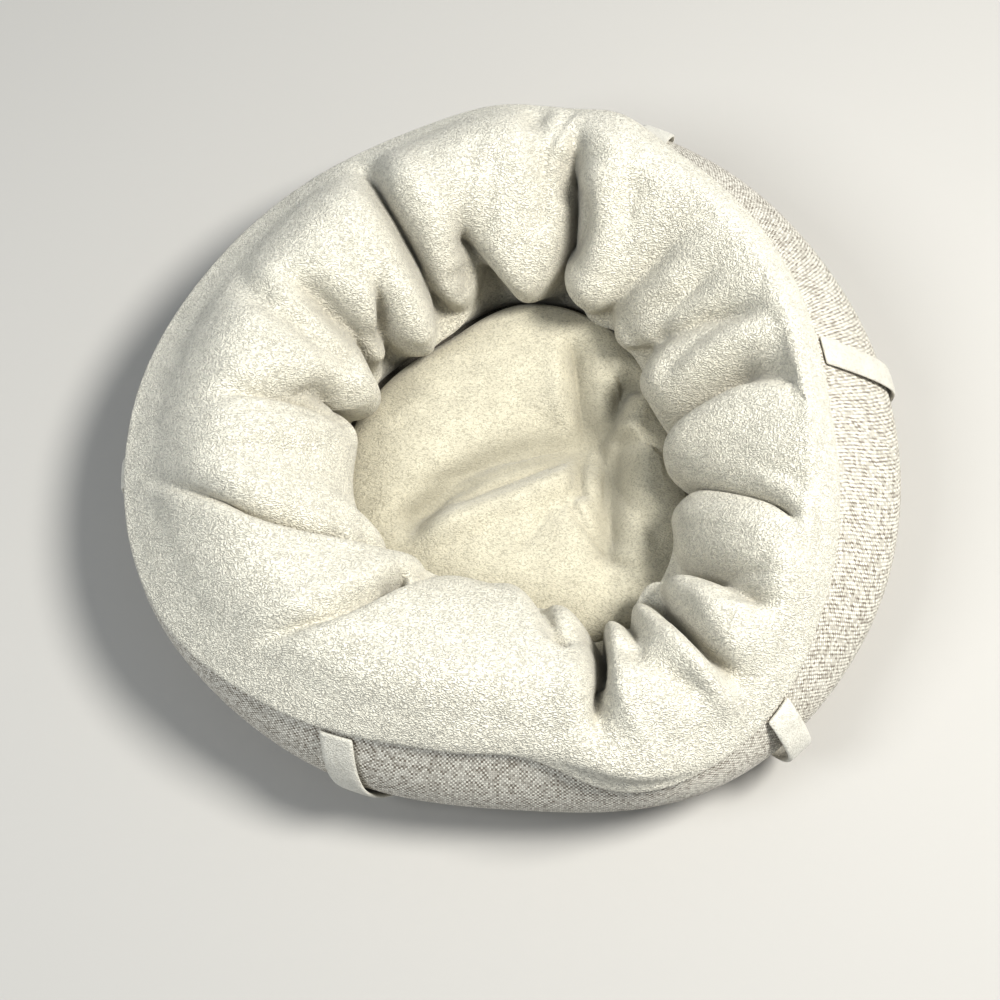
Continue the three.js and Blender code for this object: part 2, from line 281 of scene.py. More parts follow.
def folds_depth(azimuth, place, radius):
    """How far all the folds together draw the cloth in, in millimetres."""
    total = np.zeros(np.shape(radius))
    for fold in MAIN_FOLDS:
        depth, width, lip = fold[5:8]
        across, fade = fold_parts(fold, azimuth, place, radius)
        valley = np.exp(-((np.abs(across) / width) ** FOLD_SHAPE["cusp"]))
        raised = np.exp(-((across / width + FOLD_SHAPE["lip_offset"]) ** 2))
        total += (depth * valley - lip * raised) * fade
    return total


def folds_lean(azimuth, place, radius):
    """How far the lips of the main folds roll over their valleys, in millimetres round the ring."""
    total = np.zeros(np.shape(radius))
    for fold in MAIN_FOLDS:
        width, lean = fold[6], fold[8]
        across, fade = fold_parts(fold, azimuth, place, radius)
        past_lip = (across / width + FOLD_SHAPE["roll_offset"]) / FOLD_SHAPE["roll_width"]
        total += lean * np.exp(-(past_lip**2)) * fade
    return total


def swellings_rise(azimuth, place):
    total = np.zeros(np.broadcast(azimuth, place).shape)
    for middle, middle_place, span, span_place, rise in SWELLINGS:
        a = turn(azimuth, middle) / span
        p = (place - middle_place) / span_place
        total += rise * np.exp(-a * a - p * p)
    return total


def lobes_rise(place, valley):
    """Just above the pad the fleece bulges into the hollow, but not where a fold draws it in."""
    free = 1 - np.clip(valley / LOBE["full_valley"], 0, 1)
    return LOBE["rise"] * free * np.exp(-(((place - LOBE["place"]) / LOBE["span"]) ** 2))


print("deepest fold in mm:", max(fold[5] for fold in MAIN_FOLDS) * FINE_GAIN)

# %% [markdown]
# The camera comes early, because every later choice is judged through it. The photograph looks down at
# about 67 degrees from in front of the bed, at arm's length and a half. The lens is given for a square
# picture on a 36 mm sensor.

# %% Camera
CAMERA_AT = (0.0, -0.5666, 1.4197)
CAMERA_AIM = (-0.0149, -0.0440, 0.0660)
LENS, SENSOR = 68.4, 36.0


def aim_from(item, at, aim):
    """Puts the camera or a lamp at a place, looking at another; returns the distance in metres."""
    item.location = at
    away = Vector(at) - Vector(aim)
    item.rotation_euler = away.to_track_quat("Z", "Y").to_euler()
    return away.length


def add_camera():
    data = bpy.data.cameras.new("camera")
    data.lens = LENS
    data.sensor_width = SENSOR
    camera = bpy.data.objects.new("camera", data)
    distance = aim_from(camera, CAMERA_AT, CAMERA_AIM)
    bpy.context.scene.collection.objects.link(camera)
    bpy.context.scene.camera = camera
    print("camera distance in metres:", round(distance, 3))


add_camera()

# %% [markdown]
# Apart from the main folds, gathered fleece is full of finer creases. A crease here is a curve on the
# plain ring through three points, like a pen stroke with a bend. Every vertex near it is drawn in by
# its distance from the stroke, and a negative depth raises a ridge instead. A sharp fold also has a
# lip: cloth that stands up beside the valley and rolls over it, which gives the dark narrow slit of a
# real fold. Pits are small tucks, pressed straight down at one point.

# %% Fine creases of the fleece
# Columns: azimuth and place of the outer, middle and inner point, depth, width, side, lip, lean
RING_CREASES = (
    (180, 0.60, 179, 0.70, 175, 0.80, 4, 4, 1, 1, 1),
    (184, 0.63, 183, 0.70, 180, 0.78, 3, 4, 1, 1, 0),
    (173, 0.72, 169, 0.79, 174, 0.87, 12, 6, 1, 4, 6),
    (150, 0.63, 147, 0.74, 151, 0.90, 7, 6, 1, 3, 4),
    (153, 0.53, 158, 0.64, 158, 0.74, 5, 11, 1, 1, 0),
    (136, 0.71, 138, 0.79, 139, 0.89, 8, 8, -1, 3, 3),
    (147, 0.75, 144, 0.83, 139, 0.92, 5, 5, 1, 2, 1),
    (122, 0.40, 121, 0.60, 118, 0.85, 6, 5, 1, 2, 3),
    (115, 0.78, 109, 0.82, 108, 0.88, 6, 5, -1, 3, 2),
    (113, 0.72, 103, 0.80, 93, 0.92, 6, 9, -1, 3, 3),
    (97, 0.60, 99, 0.68, 102, 0.78, 3, 6, -1, 0, 0),
    (99, 0.55, 102, 0.62, 105, 0.70, 2, 6, -1, 0, 0),
    (88, 0.43, 90, 0.56, 86, 0.70, 5, 7, -1, 1, 0),
    (82, 0.41, 84, 0.54, 86, 0.67, 5, 4, -1, 2, 1),
    (83, 0.58, 82, 0.66, 79, 0.73, 8, 9, -1, 1, 0),
    (81, 0.63, 69, 0.75, 76, 0.93, 11, 6, -1, 6, 8),
    (72, 0.60, 75, 0.63, 79, 0.67, 3, 6, -1, 0, 0),
    (60, 0.60, 67, 0.72, 66, 0.83, 5, 13, -1, 0, 0),
    (41, 0.73, 46, 0.80, 52, 0.91, 5, 8, -1, 2, 1),
    (35, 0.65, 39, 0.75, 34, 0.85, 4, 9, -1, 1, 0),
    (21, 0.62, 24, 0.72, 21, 0.83, 5, 7, -1, 1, 0),
    (16, 0.65, 9, 0.76, 5, 0.94, 6, 10, -1, 2, 1),
    (3, 0.55, 6, 0.65, 9, 0.73, 4, 6, -1, 1, 0),
    (0, 0.49, 359, 0.56, 0, 0.64, 2, 7, -1, 0, 0),
    (335, 0.57, 337, 0.73, 343, 0.93, 8, 5, -1, 4, 4),
    (341, 0.53, 343, 0.63, 347, 0.73, 4, 8, -1, 1, 0),
    (333, 0.45, 330, 0.57, 330, 0.67, 3, 7, -1, 0, 0),
    (324, 0.55, 321, 0.70, 314, 0.83, 6, 7, -1, 2, 1),
    (321, 0.50, 318, 0.60, 311, 0.72, 4, 6, -1, 1, 0),
    (311, 0.52, 309, 0.62, 313, 0.74, -4, 9, 1, 0, 0),
    (312, 0.45, 304, 0.60, 305, 0.73, 7, 7, -1, 2, 1),
    (307, 0.42, 302, 0.56, 305, 0.74, -5, 9, 1, 0, 0),
    (303, 0.48, 297, 0.60, 291, 0.74, 9, 10, -1, 0, 0),
    (293, 0.40, 288, 0.57, 289, 0.73, -5, 8, 1, 0, 0),
    (283, 0.45, 286, 0.62, 291, 0.90, 24, 3.5, -1, 3, 1),
    (274, 0.76, 280, 0.72, 286, 0.80, 7, 7, -1, 2, 1),
    (189, 0.42, 204, 0.61, 228, 0.86, 7, 5, 1, 4, 5),
    (210, 0.71, 214, 0.76, 219, 0.82, 9, 5, -1, 4, 4),
    (198, 0.63, 206, 0.76, 217, 0.84, 3, 5, -1, 1, 0),
    (225, 0.49, 233, 0.62, 240, 0.81, 5, 5, 1, 3, 3),
    (225, 0.57, 232, 0.69, 236, 0.79, 4, 5, -1, 1, 0),
    (233, 0.74, 235, 0.76, 238, 0.78, 14, 4, -1, 1, 0),
    (195, 0.61, 193, 0.70, 194, 0.78, 4, 8, -1, 1, 0),
)
print("fine creases:", len(RING_CREASES))

# %% How a crease moves the cloth
STROKE_STEPS = 33
CREASE_SHAPE = {"cusp": 1.5, "lip_offset": 1.6, "roll_offset": 0.9, "roll_width": 1.1}
CREASE_STARTS_BY, CREASE_FADES_FROM = 0.35, 0.8
# A crease acts on points within this many of its widths, and within a layer of cloth in metres
CREASE_REACH = 4.5
CREASE_LAYER = 0.03


def crease_profile(across, depth, lip, lean):
    """How deep the cloth is drawn in, less what stands up on the lip, and how far it rolls over."""
    valley = np.exp(-(np.abs(across) ** CREASE_SHAPE["cusp"]))
    raised = np.exp(-((across - CREASE_SHAPE["lip_offset"]) ** 2))
    rolled = np.exp(-(((across - CREASE_SHAPE["roll_offset"]) / CREASE_SHAPE["roll_width"]) ** 2))
    return depth * valley - lip * raised, lean * rolled


def direction(line):
    """The unit direction along a line at each of its steps."""
    run = np.gradient(line, axis=0)
    return run / np.linalg.norm(run, axis=1, keepdims=True)


def follow(line, run, step, points):
    """For each point: the nearest step of the line, the gap from it, how far past it, how far along."""
    gap = points[:, None, :] - line[None, :, :]
    at = np.argmin((gap**2).sum(-1), axis=1)
    gap = gap[np.arange(len(points)), at]
    past = (gap * run[at]).sum(-1) / step
    return at, gap, past, (at + np.clip(past, -1, 1)) / (STROKE_STEPS - 1)


def stroke(crease):
    """Points, run, outward normal and side direction along a crease on the plain ring, in metres."""
    az0, place0, az1, place1, az2, place2 = crease[:6]
    t = np.linspace(0, 1, STROKE_STEPS)
    start, middle, end = (1 - t) ** 2, 2 * t * (1 - t), t**2
    turn1, turn2 = turn(az1, az0), turn(az2, az0)
    azimuth = az0 + middle * (2 * turn1 - turn2 / 2) + end * turn2
    place = start * place0 + middle * (2 * place1 - (place0 + place2) / 2) + end * place2
    points = to_xyz(azimuth, section(azimuth, place))
    run = direction(points)
    flat = section_normal(azimuth, place)
    angle = np.radians(azimuth)
    outward = np.stack([flat[:, 0] * np.cos(angle), flat[:, 0] * np.sin(angle), flat[:, 1]], axis=-1)
    return points, run, outward, np.cross(run, outward)


def crease_moves(points, crease):
    """How a crease moves each point, in metres: into the valley, up on its lip and over the valley."""
    depth, width, side, lip, lean = crease[6:]
    line, run, outward, beside = stroke(crease)
    moves = np.zeros_like(points)
    reach = CREASE_REACH * width * MM
    near = np.where((points > line.min(0) - reach).all(1) & (points < line.max(0) + reach).all(1))[0]
    at, gap, _, along = follow(line, run, np.linalg.norm(line[1] - line[0]), points[near])
    fade = smooth(along, 0, CREASE_STARTS_BY) * (1 - smooth(along, CREASE_FADES_FROM, 1))
    across = (gap * beside[at]).sum(-1) / (width * MM) * side
    height = (gap * outward[at]).sum(-1)
    fade = fade * np.exp(-((height / CREASE_LAYER) ** 2))
    drop, rolled = crease_profile(across, depth, lip, lean)
    moves[near] = -(outward[at] * (drop * fade)[:, None] + beside[at] * (side * rolled * fade)[:, None]) * MM
    return moves


print("steps along a crease:", STROKE_STEPS)

# %% Pits
# Columns: azimuth, place, depth, radius
PITS = ((235.5, 0.775, 24, 5.5), (214, 0.765, 18, 7), (171, 0.79, 12, 6))


def pit_moves(points):
    """Small deep tucks, pressed straight down into the plain ring."""
    moves = np.zeros_like(points)
    for azimuth, place, depth, radius in PITS:
        middle = to_xyz(azimuth, section(azimuth, place))
        gap = np.linalg.norm(points - middle, axis=1) / (radius * MM)
        moves[:, 2] -= depth * MM * np.exp(-(gap**2))
    return moves


print("pits:", len(PITS))

# %% [markdown]
# Now the cover of the ring itself. A circle is spun right round the bed, which gives a closed tube
# with tidy rows and columns. Each vertex then reads off which row and column it belongs to, and moves
# to its place. The first rows hide behind the woven wall, then a small roll hangs over the wall's top
# edge, where the two cloths are sewn together and turned, and the rest is open fleece.

# %% Rows of the ring's cover
RING_COLUMNS = 336
WALL_THICKNESS = 2.0
BEHIND_WALL = -(WALL_THICKNESS + 0.9)
FOOT_INSET = 4.0
TUBE_CORE_HEIGHT = 86.0
HIDDEN_TO = 0.365
OPEN_FROM, OPEN_STAND_OFF = 0.416, 2.4
TOE_SHARES = (0.35, 0.7, 1.0)
# Columns: place, stand-off from the plain section
ROLL_ROWS = (
    (0.3790, -2.6),
    (0.3845, -1.4),
    (0.3840, 0.4),
    (0.3800, 0.9),
    (0.3770, 1.6),
    (0.3775, 2.8),
    (0.3825, 3.6),
    (0.3920, 3.5),
    (0.4040, 3.0),
)
ROLL_FADES_TO = 0.47
SEAM_BAND = (SEAM - 0.01, SEAM + 0.02)
# Columns: azimuth, span, drop in places, bulge
HANGS = (
    (286, 9, 0.050, 5.0),
    (262, 6, 0.006, 1.0),
    (236, 7, 0.005, 1.0),
    (318, 6, 0.004, 0.8),
    (160, 42, 0.020, 4.0),
)
HANG_STARTS_OFF, HANG_HOLDS_TO = 0.5, 0.385
HANG_BULGE = {"place": 0.37, "span": 0.05}
WALL_ROWS, FLEECE_ROWS, UNDER_ROWS = 10, 54, 8


def ring_rows():
    """The rows round the tube as kind, place and stand-off from the plain section."""
    rows = [("wall", place, BEHIND_WALL) for place in np.linspace(0.0, HIDDEN_TO, WALL_ROWS)]
    rows += [("roll", place, off) for place, off in ROLL_ROWS]
    for place in np.linspace(OPEN_FROM, 1.0, FLEECE_ROWS):
        rows.append(("fleece", place, OPEN_STAND_OFF * (1 - float(smooth(place, OPEN_FROM, ROLL_FADES_TO)))))
    rows += [("toe", share, 0.0) for share in TOE_SHARES]
    rows += [("under", share, 0.0) for share in np.linspace(0.0, 1.0, UNDER_ROWS + 2)[1:-1]]
    return rows


RING_ROWS = ring_rows()
print("rows:", len(RING_ROWS), "columns:", RING_COLUMNS)

# %% Spin a tube and read where each vertex belongs
TUBE = {"radius": 0.08, "ring": 0.2}


def positions(verts):
    return np.array([vert.co for vert in verts])


def spin_round(bm, steps):
    """Spins everything once round the upright axis and merges the last step with the first."""
    bmesh.ops.spin(
        bm, geom=bm.verts[:] + bm.edges[:], axis=(0, 0, 1), cent=(0, 0, 0), dvec=(0, 0, 0),
        angle=math.tau, steps=steps, use_merge=True, use_duplicate=False,
    )


def spun_tube(rows, columns):
    """A closed tube with the given rows and columns, as a bmesh, with the row and column of each vertex."""
    bm = bmesh.new()
    made = bmesh.ops.create_circle(bm, segments=rows, radius=TUBE["radius"])
    quarter = math.radians(90)
    bmesh.ops.rotate(bm, verts=made["verts"], matrix=Matrix.Rotation(quarter, 3, "X"))
    bmesh.ops.translate(bm, verts=made["verts"], vec=(TUBE["ring"], 0, 0))
    spin_round(bm, columns)
    bm.verts.index_update()
    at = positions(bm.verts)
    radius = np.hypot(at[:, 0], at[:, 1])
    column_of = np.round(np.arctan2(at[:, 1], at[:, 0]) / math.tau * columns).astype(int) % columns
    round_tube = np.arctan2(at[:, 2], radius - TUBE["ring"]) / math.tau * rows
    row_of = np.round(round_tube).astype(int) % rows
    return bm, row_of, column_of


tube, row_of, column_of = spun_tube(len(RING_ROWS), RING_COLUMNS)
print("tube vertices:", len(tube.verts), "faces:", len(tube.faces))

# %% Place every vertex of the ring's cover
ROW_KINDS = np.array([kind for kind, _, _ in RING_ROWS])[row_of]
ROW_PLACES = np.array([place for _, place, _ in RING_ROWS])[row_of]
ROW_OFFS = np.array([off for _, _, off in RING_ROWS])[row_of]
AZIMUTHS = column_of * (360.0 / RING_COLUMNS)


def core_directions(azimuth, flat):
    """From the middle of the filling outwards, across the section."""
    middle = (rail("bulgeR", azimuth) + rail("innerR", azimuth)) / 2
    away = flat - np.stack([middle, np.full(middle.shape, TUBE_CORE_HEIGHT)], axis=-1)
    return away / np.linalg.norm(away, axis=-1, keepdims=True)


def hanging(azimuth, place, off):
    """Where the fleece hangs over the wall, its lowest rows slide down the section and stand off more."""
    for middle, span, drop, bulge in HANGS:
        share = np.exp(-((turn(azimuth, middle) / span) ** 2)) * (off > HANG_STARTS_OFF)
        place = place - drop * share * (1 - smooth(place, HANG_HOLDS_TO, ROLL_FADES_TO))
        off = off + bulge * share * np.exp(-(((place - HANG_BULGE["place"]) / HANG_BULGE["span"]) ** 2))
    return place, off


def ring_cover_points(azimuth, place, off, kind):
    """The cover with its folds, in metres: wall and roll rows follow the section, fleece rows fold."""
    on_section = np.isin(kind, ["wall", "roll", "fleece"])
    on_floor = np.full(azimuth.shape, CLOTH_FLOOR)
    placed = np.where(on_section, place, 1.0)
    placed, off = hanging(azimuth, placed, off)
    flat = section(azimuth, placed) + section_normal(azimuth, placed) * off[:, None]
    at_foot = (kind == "wall") & (place == 0)
    flat[at_foot] = np.stack([rail("footR", azimuth) - FOOT_INSET, on_floor], axis=-1)[at_foot]
    outside = on_section & (off > 0) | (kind == "fleece")
    rise = swellings_rise(azimuth, placed) * smooth(placed, *SEAM_BAND)
    valley = FINE_GAIN * folds_depth(azimuth, placed, flat[..., 0])
    rise = rise - valley + lobes_rise(placed, valley)
    leant = azimuth + np.degrees(folds_lean(azimuth, placed, flat[..., 0]) / flat[..., 0])
    flat = flat + core_directions(azimuth, flat) * np.where(outside, rise, 0)[:, None]
    toe_end = np.stack([rail("toeR", azimuth) + RUN_OUT["out"], on_floor], axis=-1)
    foot = np.stack([rail("footR", azimuth) - FOOT_INSET, on_floor], axis=-1)
    share = place[:, None]
    flat = np.where((kind == "toe")[:, None], flat * (1 - share) + toe_end * share, flat)
    flat = np.where((kind == "under")[:, None], toe_end * (1 - share) + foot * share, flat)
    points = to_xyz(np.where(kind == "fleece", leant, azimuth), flat)
    plain = to_xyz(azimuth, section(azimuth, placed))
    moves = pit_moves(plain)
    for crease in RING_CREASES:
        moves += FINE_GAIN * crease_moves(plain, crease)
    outward = to_xyz(azimuth, section_normal(azimuth, placed)) / MM
    # How deep each vertex lies in the folds; the fleece material paints shade by it
    sunk = np.where(outside, valley - (moves * outward).sum(-1) / MM, 0)
    return points + np.where(outside[:, None], moves, 0), sunk


RING_START, RING_SUNK = ring_cover_points(AZIMUTHS, ROW_PLACES, ROW_OFFS, ROW_KINDS)
print("cover spans in mm:", np.round((RING_START.max(0) - RING_START.min(0)) / MM, 1))

# %% Make the ring's cover a piece
# Painted shade in the folds: the depths in mm where the fleece begins to be painted darker and where it is
# fully so
FOLD_SHADE_LAYER = "painted_fold_shade"
RING_FOLD_SHADE_DEPTHS = (3, 26)


def put_vertices(bm, points):
    for vert, point in zip(bm.verts, points):
        vert.co = point


def finish_mesh(bm, name):
    """Faces outward, smooth shading, and a new object from the bmesh."""
    bmesh.ops.recalc_face_normals(bm, faces=bm.faces[:])
    for face in bm.faces:
        face.smooth = True
    mesh = bpy.data.meshes.new(name)
    bm.to_mesh(mesh)
    bm.free()
    piece = bpy.data.objects.new(name, mesh)
    bpy.context.scene.collection.objects.link(piece)
    return piece


def keep_fold_shade(piece, sunk, low, high):
    """Keeps on each vertex how deep it lies in a fold, from 0 to 1; the fleece material paints shade by it.
    """
    layer = piece.data.attributes.new(FOLD_SHADE_LAYER, "FLOAT", "POINT")
    layer.data.foreach_set("value", smooth(sunk, low, high).astype(np.float32))


put_vertices(tube, RING_START)
fleece_ring = finish_mesh(tube, "fleece_ring")
keep_fold_shade(fleece_ring, RING_SUNK, *RING_FOLD_SHADE_DEPTHS)
print(fleece_ring.name, len(fleece_ring.data.polygons), "faces")

# %% [markdown]
# So far the ring is drawn, and drawn cloth looks tidy. Real cloth over filling is pushed out by it and
# has to go somewhere, so it swells between the folds and wrinkles across them. The cloth solver does
# that: the fleece is blown up gently with gravity off. What is sewn or trapped is held, the bottoms of
# the folds are held a little, and the gathered part near the hollow gets some spare cloth, which
# buckles. No point may travel further than a few millimetres, so the bed keeps its size.

# %% Let the cloth settle over its filling
SETTLE_FRAMES = 20
CLOTH = {
    "quality": 5, "mass": 0.3, "bending_stiffness": 0.3, "use_pressure": True, "uniform_pressure_force": 4.0,
    "vertex_group_mass": "held", "vertex_group_shrink": "spare", "shrink_min": 0.0, "shrink_max": -0.08,
}
LEAST_WEIGHT = 0.001
RING_CAP = 8 * MM
# A pair is where a hold or the spare cloth sets in and where it is full
RING_HOLDS = {
    "edge": (0.41, 0.5), "toe": (0.95, 1.0), "valley": 0.6, "full_valley": 14.0, "least": 0.04,
    "spare_from": (0.46, 0.72), "spare_to": (0.93, 0.99),
}


def settle(piece, held, spare, cap):
    """Cloth, run on a copy of the piece; the capped result is written back to the piece's own mesh."""
    scene = bpy.context.scene
    trial = piece.copy()
    trial.data = piece.data.copy()
    scene.collection.objects.link(trial)
    for name, weights in (("held", held), ("spare", spare)):
        group = trial.vertex_groups.new(name=name)
        for index in np.nonzero(weights > LEAST_WEIGHT)[0]:
            group.add([int(index)], float(weights[index]), "REPLACE")
    cloth = trial.modifiers.new("cloth", "CLOTH")
    for name, value in CLOTH.items():
        setattr(cloth.settings, name, value)
    cloth.settings.effector_weights.gravity = 0.0
    cloth.collision_settings.use_collision = False
    cloth.collision_settings.use_self_collision = False
    cloth.point_cache.frame_start, cloth.point_cache.frame_end = 1, SETTLE_FRAMES
    for frame in range(1, SETTLE_FRAMES + 1):
        scene.frame_set(frame)
    after = trial.evaluated_get(bpy.context.evaluated_depsgraph_get()).data
    start = positions(piece.data.vertices)
    move = positions(after.vertices) - start
    far = np.linalg.norm(move, axis=1, keepdims=True)
    kept = move / np.sqrt(1 + (far / cap) ** 2)
    piece.data.vertices.foreach_set("co", (start + kept).ravel())
    piece.data.update()
    scene.frame_set(1)
    bpy.data.objects.remove(trial)
    print(piece.name, "settled, farthest pull in mm:", round(float(far.max()) / MM, 1))


def spare_cloth(share, holds):
    """Spare cloth begins softly after one place and ends softly before another."""
    return smooth(share, *holds["spare_from"]) * (1 - smooth(share, *holds["spare_to"]))


def ring_holds():
    """How firmly each vertex of the cover is held, and where it has spare cloth."""
    fleece = ROW_KINDS == "fleece"
    radius = section(AZIMUTHS, np.where(fleece, ROW_PLACES, 1.0))[:, 0]
    valley = folds_depth(AZIMUTHS, ROW_PLACES, radius) / RING_HOLDS["full_valley"]
    in_valley = RING_HOLDS["valley"] * np.clip(valley, 0, 1)
    held = np.maximum(1 - smooth(ROW_PLACES, *RING_HOLDS["edge"]), in_valley)
    held = np.maximum(held, smooth(ROW_PLACES, *RING_HOLDS["toe"]))
    held = np.maximum(held, RING_HOLDS["least"])
    return np.where(fleece, held, 1.0), np.where(fleece, spare_cloth(ROW_PLACES, RING_HOLDS), 0.0)


settle(fleece_ring, *ring_holds(), cap=RING_CAP)

# %% [markdown]
# The pad in the hollow is one cushion. It is star-shaped seen from the tuft, a stitch that pulls the
# top down to the right of the middle, so its rows run from the tuft to the rim and back underneath.
# The creases run out of the tuft as well. The shallow ones go straight out at an azimuth, and the deep
# ones are strokes through three points, as on the ring. The pad settles too, but less than the ring.

# %% Pad profile, tuft and creases
TUFT = (57.0, 23.0)
PAD_SIDE_CLEARANCE = 0.5
PAD_TOP = (
    (0.0, 20), (0.05, 25), (0.12, 33), (0.22, 40), (0.34, 45), (0.48, 48), (0.62, 49), (0.76, 48),
    (0.86, 45), (0.94, 39), (1.0, 27),
)
PAD_UNDER = ((1.0, 27), (0.985, 12), (0.94, CLOTH_FLOOR), (0.5, CLOTH_FLOOR), (0.0, CLOTH_FLOOR))
# Columns: azimuth, depth, width, reach
PAD_CREASES = (
    (70, 6, 11, 1.0),
    (42, 10, 10, 0.95),
    (322, 9, 11, 0.9),
    (296, 7, 13, 1.0),
    (258, 5, 12, 0.7),
    (209, 10, 10, 1.0),
    (196, 6, 9, 0.85),
    (135, 5, 14, 0.6),
)
# Columns: start, middle and end in X and Y, depth, width, side, lip, lean
PAD_STROKES = (
    (62, 14, -14, 4, -98, -66, 42, 14, 1, 13, 4),
    (44, 4, -8, -22, -100, -72, 28, 9, 1, 11, 4),
    (56, 14, 46, 50, 38, 116, 26, 9, 1, 6, 2),
    (58, 16, 77, 42, 80, 70, 24, 9, -1, 7, 4),
    (76, 66, 87, 68, 104, 62, 20, 8, 1, 5, 3),
    (88, 26, 75, -12, 74, -94, 30, 13, 1, 8, 3),
    (53, 16, 48, -8, 51, -34, 16, 7, 1, 5, 2),
    (34, -20, 58, -64, 96, -100, 8, 5, 1, 3, 1),
    (-52, -28, -60, -44, -84, -54, 12, 6, 1, 4, 3),
)
print("pad creases:", len(PAD_CREASES) + len(PAD_STROKES))

# %% How the creases draw the pad down
# A crease never reaches below the least height, and uses this share of the room above it
PAD_LEAST_HEIGHT, PAD_ROOM_USED = 9.0, 0.8
PAD_CREASE_STARTS_BY, PAD_CREASE_FADES_FROM = 0.12, 0.6
PAD_STROKE_STARTS_BY, PAD_STROKE_END = 0.2, 4
PAD_ROLL_FADES = (0.88, 0.98)


def pad_height(share):
    """Height of the pad's top on its way from the tuft to the rim, by a smooth curve through its table."""
    shares = np.array([row[0] for row in PAD_TOP])
    heights = np.array([row[1] for row in PAD_TOP], dtype=float)
    slopes = np.gradient(heights, shares)
    at = np.clip(np.searchsorted(shares, share, side="right") - 1, 0, len(shares) - 2)
    span = shares[at + 1] - shares[at]
    f = (share - shares[at]) / span
    return curve_between(f, heights[at], slopes[at], heights[at + 1], slopes[at + 1], span)


def pad_crease_depth(azimuth, share, rim_reach):
    total = np.zeros(share.shape)
    for middle, depth, width, reach in PAD_CREASES:
        across = np.radians(turn(azimuth, middle)) * rim_reach * share
        fade = smooth(share, 0, PAD_CREASE_STARTS_BY)
        fade = fade * (1 - smooth(share, PAD_CREASE_FADES_FROM * reach, reach))
        total += depth * np.exp(-((np.abs(across) / width) ** CREASE_SHAPE["cusp"])) * fade
    return total


def pad_stroke(points, crease):
    """A bent crease on the pad's top: how far it draws points down and rolls them over, in mm."""
    start, middle, end = (np.array(crease[k:k + 2], dtype=float) for k in (0, 2, 4))
    depth, width, side, lip, lean = crease[6:]
    t = np.linspace(0, 1, STROKE_STEPS)[:, None]
    line = (1 - t) ** 2 * start + 2 * t * (1 - t) * (2 * middle - (start + end) / 2) + t**2 * end
    run = direction(line)
    beside = np.stack([-run[:, 1], run[:, 0]], axis=-1)
    step = np.linalg.norm(np.diff(line, axis=0), axis=1).mean()
    at, gap, past, along = follow(line, run, step, points)
    fade = smooth(along, 0, PAD_STROKE_STARTS_BY) * (1 - smooth(along, CREASE_FADES_FROM, 1))
    fade = fade * np.exp(-((past / PAD_STROKE_END) ** 2))
    across = (gap * beside[at]).sum(-1) / width * side
    drop, rolled = crease_profile(across, depth, lip, lean)
    return drop * fade, -beside[at] * (side * rolled * fade)[:, None]


def pad_points(azimuth, share, under):
    """Points of the pad for arrays of azimuth, share of the way to the rim, and whether underneath."""
    angle, toe = np.radians(azimuth), rail("toeR", azimuth) - PAD_SIDE_CLEARANCE
    rim = np.stack([toe * np.cos(angle), toe * np.sin(angle)], axis=-1)
    tuft = np.array(TUFT)
    rim_reach = np.linalg.norm(rim - tuft, axis=-1)
    across = tuft + (rim - tuft) * share[:, None]
    drop = pad_crease_depth(azimuth, share, rim_reach)
    roll = np.zeros_like(across)
    for crease in PAD_STROKES:
        more, over = pad_stroke(across, crease)
        drop, roll = drop + more, roll + over
    room = PAD_ROOM_USED * (pad_height(share) - PAD_LEAST_HEIGHT)
    top = pad_height(share) - np.where(drop > 0, room * (1 - np.exp(-drop / room)), drop)
    across = across + roll * (~under * (1 - smooth(share, *PAD_ROLL_FADES)))[:, None]
    shares = [row[0] for row in reversed(PAD_UNDER)]
    below = np.interp(share, shares, [row[1] for row in reversed(PAD_UNDER)])
    height = np.where(under, below, top)
    return np.concatenate([across, height[:, None]], axis=1) * MM, np.where(under, 0, drop)


print("pad height half way out in mm:", round(float(pad_height(np.array([0.5]))[0]), 1))

# %% Spin the pad and place it
PAD_TOP_ROWS, PAD_UNDER_ROWS, PAD_COLUMNS = 48, 12, 180
PAD_ROW_CROWDING = 0.8
PAD_UNDER_MARK = -0.1
# Depths in mm where the pad's painted shade in the folds begins and where it is full
PAD_FOLD_SHADE_DEPTHS = (3, 28)


def draw_line(bm, points):
    """A chain of edges through the points."""
    verts = [bm.verts.new(point) for point in points]
    for start, end in zip(verts, verts[1:]):
        bm.edges.new((start, end))


def azimuth_of(points):
    return np.degrees(np.arctan2(points[:, 1], points[:, 0])) % 360


def spun_pad():
    """A closed pad: an open line from the tuft over the rim and under, spun round, poles merged."""
    bm = bmesh.new()
    shares = list(np.linspace(0, 1, PAD_TOP_ROWS) ** PAD_ROW_CROWDING)
    under_shares = list(np.linspace(1, 0, PAD_UNDER_ROWS)[1:])
    line = [(share, 0.0) for share in shares] + [(share, PAD_UNDER_MARK) for share in under_shares]
    draw_line(bm, [(share, 0.0, height) for share, height in line])
    spin_round(bm, PAD_COLUMNS)
    bmesh.ops.remove_doubles(bm, verts=bm.verts[:], dist=1e-6)
    at = positions(bm.verts)
    return bm, azimuth_of(at), np.hypot(at[:, 0], at[:, 1]), at[:, 2] < PAD_UNDER_MARK / 2


pad_mesh, pad_azimuth, pad_share, pad_under = spun_pad()
PAD_START, PAD_SUNK = pad_points(pad_azimuth, pad_share, pad_under)
put_vertices(pad_mesh, PAD_START)
pad_cushion = finish_mesh(pad_mesh, "pad_cushion")
keep_fold_shade(pad_cushion, PAD_SUNK, *PAD_FOLD_SHADE_DEPTHS)
print(pad_cushion.name, len(pad_cushion.data.polygons), "faces")

# %% Let the pad settle
PAD_CAP = 2.5 * MM
PAD_HOLDS = {
    "rim": (0.86, 0.96), "tuft": (0.05, 0.16), "least": 0.06,
    "spare_from": (0.15, 0.4), "spare_to": (0.8, 0.95),
}


